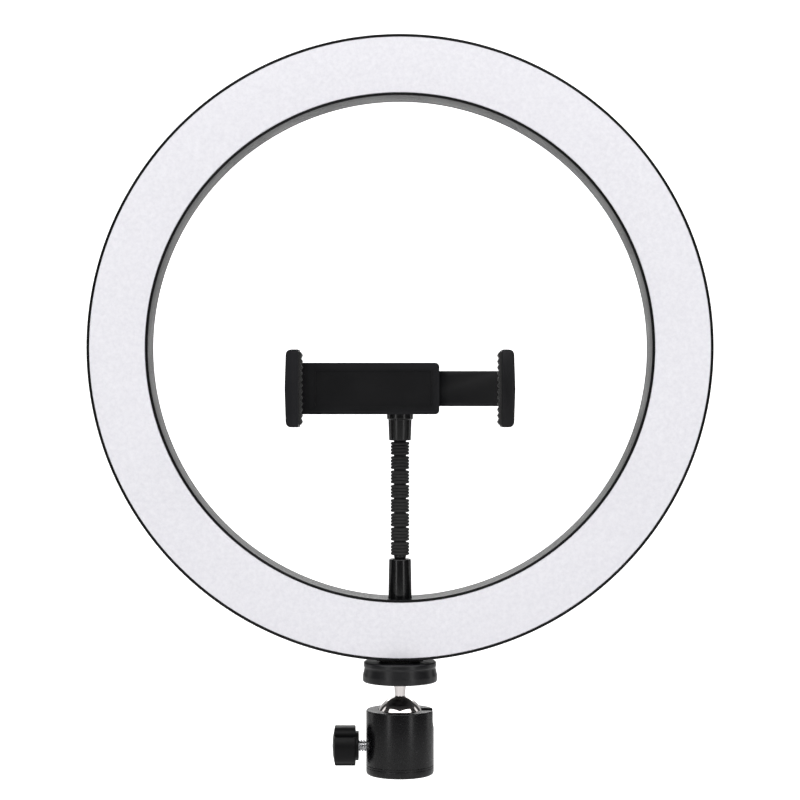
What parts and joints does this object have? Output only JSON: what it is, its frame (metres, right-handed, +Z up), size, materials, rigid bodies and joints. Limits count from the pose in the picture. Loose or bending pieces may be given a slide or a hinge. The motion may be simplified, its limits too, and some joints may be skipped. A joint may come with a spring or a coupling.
{
  "type": "ring light",
  "caption": "Round LED ring light with a sprung phone holder on a gooseneck inside the ring, standing on a small locking ball head with a tripod thread.",
  "frame": {"origin": "mouth of the tripod thread, in the middle of the ball head's underside", "axes": "+Z up through the ball head and the ring's centre, the light faces -Y, +X to the right seen from the front, and the lock knob is on -X"},
  "size_m": [0.26, 0.055, 0.3084],
  "materials": {
    "housing_plastic": "fine moulded grain, satin black",
    "diffuser_acrylic": "frosted white with a faint mottle",
    "board_white": "white solder mask",
    "led_warm": "warm phosphor",
    "led_cool": "cool phosphor",
    "zinc_steel": "zinc plated",
    "black_screw_steel": "black oxide",
    "soft_rubber": "matt rubber",
    "brass": "turned",
    "head_finish": "satin black anodised look",
    "nylon": "natural nylon",
    "chrome_ball": "mirror polish",
    "knob_plastic": "moulded black",
    "platform_finish": "moulded satin black",
    "stem_finish": "gloss black",
    "gooseneck_rubber": "ribbed black sleeve",
    "clamp_plastic": "moulded satin black",
    "spring_steel": "drawn wire"
  },
  "bodies": {
    "base": {"head_body": "head_finish", "base_plug": "head_finish"},
    "seat": {"ball_seat": "nylon"},
    "light": {"ball_stud": "chrome_ball", "platform": "platform_finish", "platform_stud": "zinc_steel", "platform_pad": "soft_rubber", "ring_housing": "housing_plastic", "rear_cover": "housing_plastic", "diffuser": "diffuser_acrylic", "led_board": "board_white", "led_chips_warm": "led_warm", "led_chips_cool": "led_cool", "board_screws": "zinc_steel", "cover_screws": "black_screw_steel", "cable_gland": "soft_rubber", "mount_insert": "brass", "stem_foot": "stem_finish", "stem_nut": "zinc_steel"},
    "lifter": {"lifter": "brass"},
    "wedge": {"wedge_pin": "brass"},
    "lock": {"lock_screw": "zinc_steel", "lock_knob": "knob_plastic"},
    "link_1": {"gooseneck_link_1": "gooseneck_rubber"},
    "link_2": {"gooseneck_link_2": "gooseneck_rubber"},
    "link_3": {"gooseneck_link_3": "gooseneck_rubber"},
    "link_4": {"gooseneck_link_4": "gooseneck_rubber"},
    "link_5": {"gooseneck_link_5": "gooseneck_rubber"},
    "link_6": {"gooseneck_link_6": "gooseneck_rubber"},
    "link_7": {"gooseneck_link_7": "gooseneck_rubber"},
    "link_8": {"gooseneck_link_8": "gooseneck_rubber"},
    "holder_top": {"stem_head": "stem_finish", "holder_ball_pin": "zinc_steel"},
    "cup": {"socket_cup": "nylon"},
    "clamp": {"clamp_cover": "clamp_plastic", "clamp_shell": "clamp_plastic", "clamp_screws": "black_screw_steel", "clamp_spring": "spring_steel", "fixed_pad": "soft_rubber"},
    "collar": {"socket_collar": "knob_plastic"},
    "arm": {"slide_arm": "clamp_plastic", "sliding_pad": "soft_rubber"}
  },
  "joints": [
    {"name": "head_pan", "type": "hinge", "parent": "base", "child": "seat", "pos_m": [0, 0, 0.0227], "axis": [0, 0, 1], "continuous": true},
    {"name": "head_tilt", "type": "hinge", "parent": "seat", "child": "light", "pos_m": [0, 0, 0.0227], "axis": [1, 0, 0], "range_deg": [-45, 45]},
    {"name": "wedge_slide", "type": "slide", "parent": "base", "child": "wedge", "axis": [1, 0, 0], "range_m": [-0.00159, 0]},
    {"name": "knob_turn", "type": "hinge", "parent": "wedge", "child": "lock", "pos_m": [-0.02, 0, 0.0118], "axis": [1, 0, 0], "range_deg": [-540, 0]},
    {"name": "lifter_slide", "type": "slide", "parent": "base", "child": "lifter", "axis": [0, 0, 1], "range_m": [-0.00095, 0]},
    {"name": "gooseneck_bend_1", "type": "hinge", "parent": "light", "child": "link_1", "pos_m": [0, 0, 0.0914], "axis": [1, 0, 0], "range_deg": [-7, 7]},
    {"name": "gooseneck_bend_2", "type": "hinge", "parent": "link_1", "child": "link_2", "pos_m": [0, 0, 0.0974], "axis": [1, 0, 0], "range_deg": [-7, 7]},
    {"name": "gooseneck_bend_3", "type": "hinge", "parent": "link_2", "child": "link_3", "pos_m": [0, 0, 0.1034], "axis": [1, 0, 0], "range_deg": [-7, 7]},
    {"name": "gooseneck_bend_4", "type": "hinge", "parent": "link_3", "child": "link_4", "pos_m": [0, 0, 0.1094], "axis": [1, 0, 0], "range_deg": [-7, 7]},
    {"name": "gooseneck_bend_5", "type": "hinge", "parent": "link_4", "child": "link_5", "pos_m": [0, 0, 0.1154], "axis": [1, 0, 0], "range_deg": [-7, 7]},
    {"name": "gooseneck_bend_6", "type": "hinge", "parent": "link_5", "child": "link_6", "pos_m": [0, 0, 0.1214], "axis": [1, 0, 0], "range_deg": [-7, 7]},
    {"name": "gooseneck_bend_7", "type": "hinge", "parent": "link_6", "child": "link_7", "pos_m": [0, 0, 0.1274], "axis": [1, 0, 0], "range_deg": [-7, 7]},
    {"name": "gooseneck_bend_8", "type": "hinge", "parent": "link_7", "child": "link_8", "pos_m": [0, 0, 0.1334], "axis": [1, 0, 0], "range_deg": [-7, 7]},
    {"name": "gooseneck_bend_9", "type": "hinge", "parent": "link_8", "child": "holder_top", "pos_m": [0, 0, 0.1394], "axis": [1, 0, 0], "range_deg": [-7, 7]},
    {"name": "clamp_tilt", "type": "hinge", "parent": "holder_top", "child": "cup", "pos_m": [0, -0.0117, 0.1613], "axis": [1, 0, 0], "range_deg": [-18, 18]},
    {"name": "clamp_turn", "type": "hinge", "parent": "cup", "child": "clamp", "pos_m": [0, -0.0117, 0.1613], "axis": [0, 1, 0], "continuous": true},
    {"name": "collar_turn", "type": "hinge", "parent": "clamp", "child": "collar", "pos_m": [0, -0.0117, 0.1613], "axis": [0, 1, 0], "range_deg": [-90, 0]},
    {"name": "jaw_slide", "type": "slide", "parent": "clamp", "child": "arm", "axis": [1, 0, 0], "range_m": [-0.0225, 0.009], "deforming": ["clamp_spring"]}
  ],
  "couplings": [
    {"joint": "knob_turn", "follows": "wedge_slide", "rad_per_m": 5927.5},
    {"joint": "lifter_slide", "follows": "wedge_slide", "ratio": 0.57735}
  ]
}
